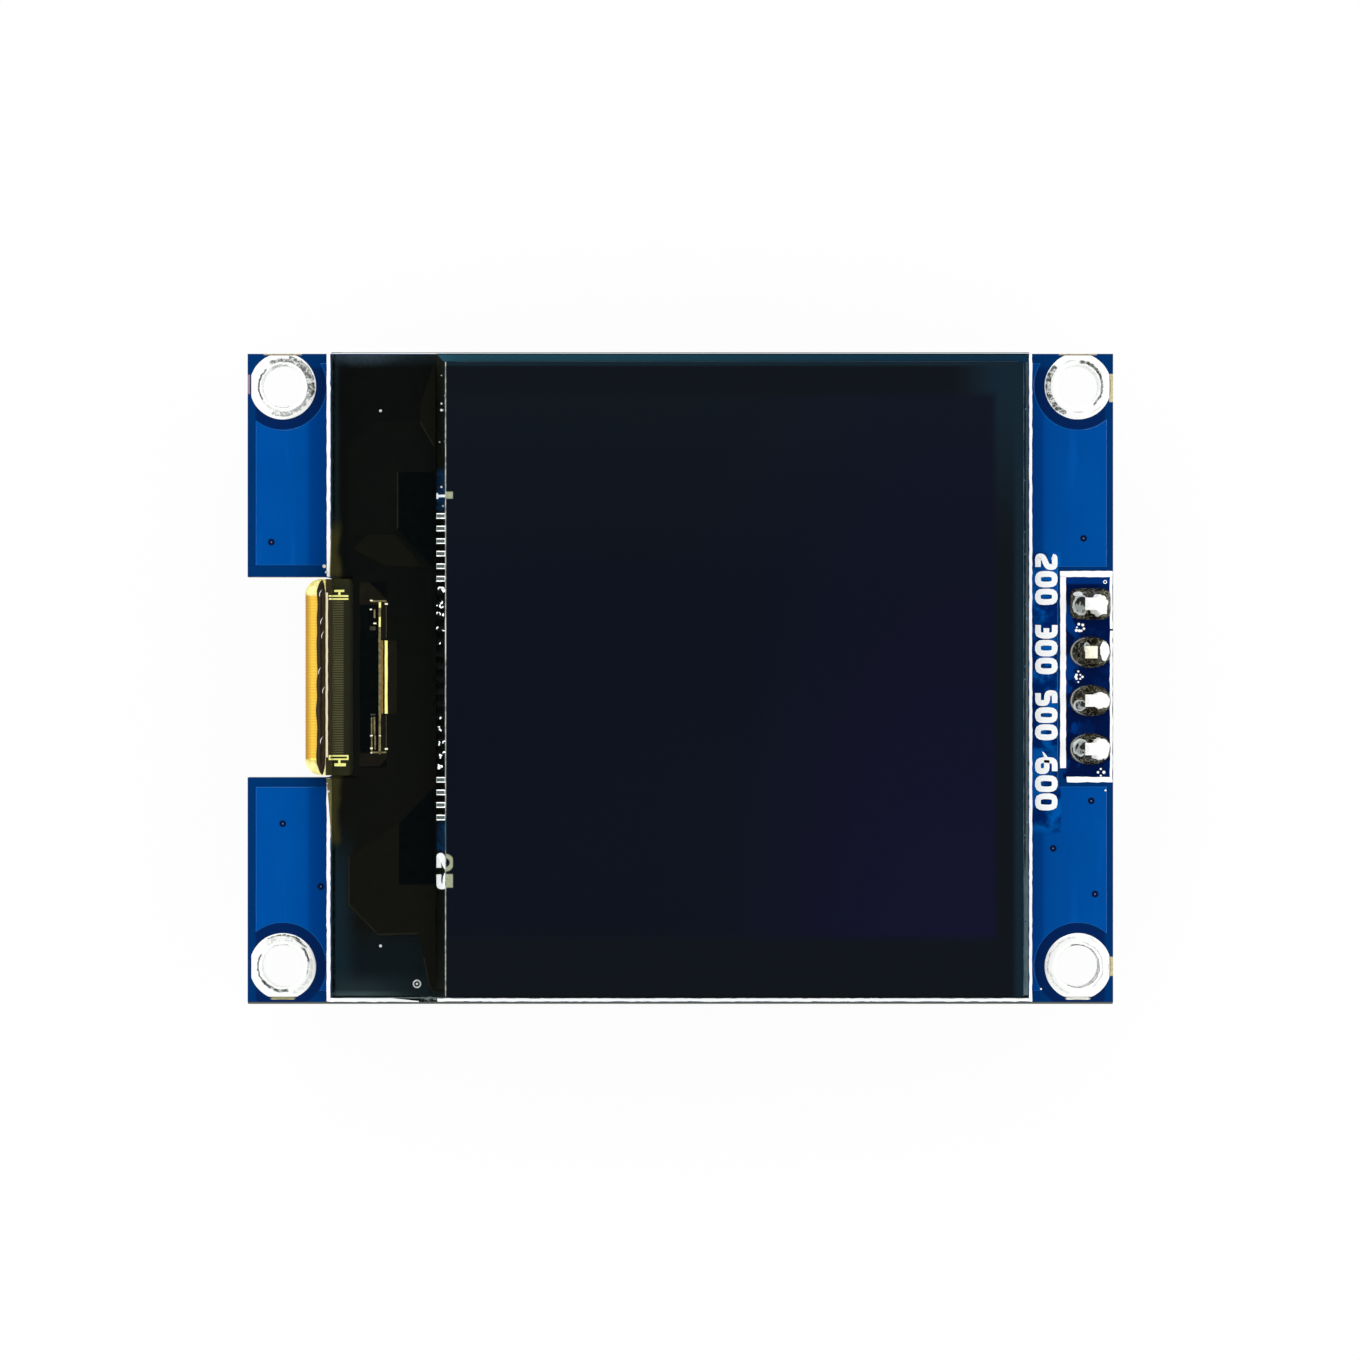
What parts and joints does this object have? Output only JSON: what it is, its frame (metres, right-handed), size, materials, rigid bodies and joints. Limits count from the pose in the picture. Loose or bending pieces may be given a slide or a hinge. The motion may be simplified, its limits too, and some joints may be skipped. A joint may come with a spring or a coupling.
{
  "type": "small oled display module",
  "caption": "Square monochrome display panel on a small circuit board with a folded flex ribbon, pin header and corner mounting holes.",
  "frame": {"origin": "middle of the board's underside; the four-hole mounting pattern's middle lies 0.15 mm from it along +Y", "axes": "+X along the board towards the pin header, +Y towards the edge that the panel is flush with, +Z out of the display"},
  "size_m": [0.0455, 0.0342, 0.0119],
  "materials": {
    "solder_mask": "blue solder mask over glass-fibre laminate, satin gloss",
    "tinned_copper": "hot-tinned copper land, bright and uneven",
    "panel_glass": "thin clear float glass with cut edges",
    "polarizer_film": "dark circular polarizer film, smooth",
    "foam_tape": "white double-sided foam tape, matte edge",
    "black_tape": "black protective tape seen through the glass",
    "sealant": "cured edge sealant",
    "cathode_film": "thin organic stack under a metal film",
    "drying_sheet": "white drying sheet inside the cap",
    "silicon": "polished bare chip with metal edge lines",
    "polyimide": "amber polyimide film with copper traces",
    "clear_glue": "cured clear glue bead, glossy",
    "solder": "bright tin solder",
    "header_plastic": "black moulded header base",
    "pin_metal": "plated square pin",
    "package_plastic": "black moulded package with tinned leads",
    "capacitor_ceramic": "tan ceramic with tinned ends",
    "resistor_ceramic": "black overcoat on white ceramic, tinned ends",
    "ferrite": "dark grey sintered ferrite",
    "copper_wire": "enamelled copper winding"
  },
  "bodies": {
    "root": {"boost_capacitor": "capacitor_ceramic", "boost_converter": "package_plastic", "bus_resistor_1": "resistor_ceramic", "bus_resistor_2": "resistor_ceramic", "cap_glass": "panel_glass", "circuit_board": "solder_mask", "desiccant_sheet": "drying_sheet", "driver_ic": "silicon", "edge_seal": "sealant", "emitter_layer": "cathode_film", "feedback_resistor_1": "resistor_ceramic", "feedback_resistor_2": "resistor_ceramic", "flex_ribbon": "polyimide", "foam_tape": "foam_tape", "header_base": "header_plastic", "header_pin_1": "pin_metal", "header_pin_2": "pin_metal", "header_pin_3": "pin_metal", "header_pin_4": "pin_metal", "hole_plating_1": "tinned_copper", "hole_plating_2": "tinned_copper", "hole_plating_3": "tinned_copper", "hole_plating_4": "tinned_copper", "inductor_coil": "copper_wire", "inductor_core": "ferrite", "ledge_tape": "black_tape", "panel_capacitor_1": "capacitor_ceramic", "panel_capacitor_2": "capacitor_ceramic", "panel_capacitor_3": "capacitor_ceramic", "panel_capacitor_4": "capacitor_ceramic", "panel_capacitor_5": "capacitor_ceramic", "panel_capacitor_6": "capacitor_ceramic", "panel_resistor_1": "resistor_ceramic", "panel_resistor_2": "resistor_ceramic", "panel_resistor_3": "resistor_ceramic", "panel_resistor_4": "resistor_ceramic", "panel_resistor_5": "resistor_ceramic", "polarizer": "polarizer_film", "rectifier_diode": "package_plastic", "ribbon_glue": "clear_glue", "ribbon_solder": "solder", "solder_joint_1": "solder", "solder_joint_2": "solder", "solder_joint_3": "solder", "solder_joint_4": "solder", "substrate_glass": "panel_glass", "supply_capacitor_1": "capacitor_ceramic", "supply_capacitor_2": "capacitor_ceramic", "voltage_regulator": "package_plastic"}
  },
  "joints": []
}
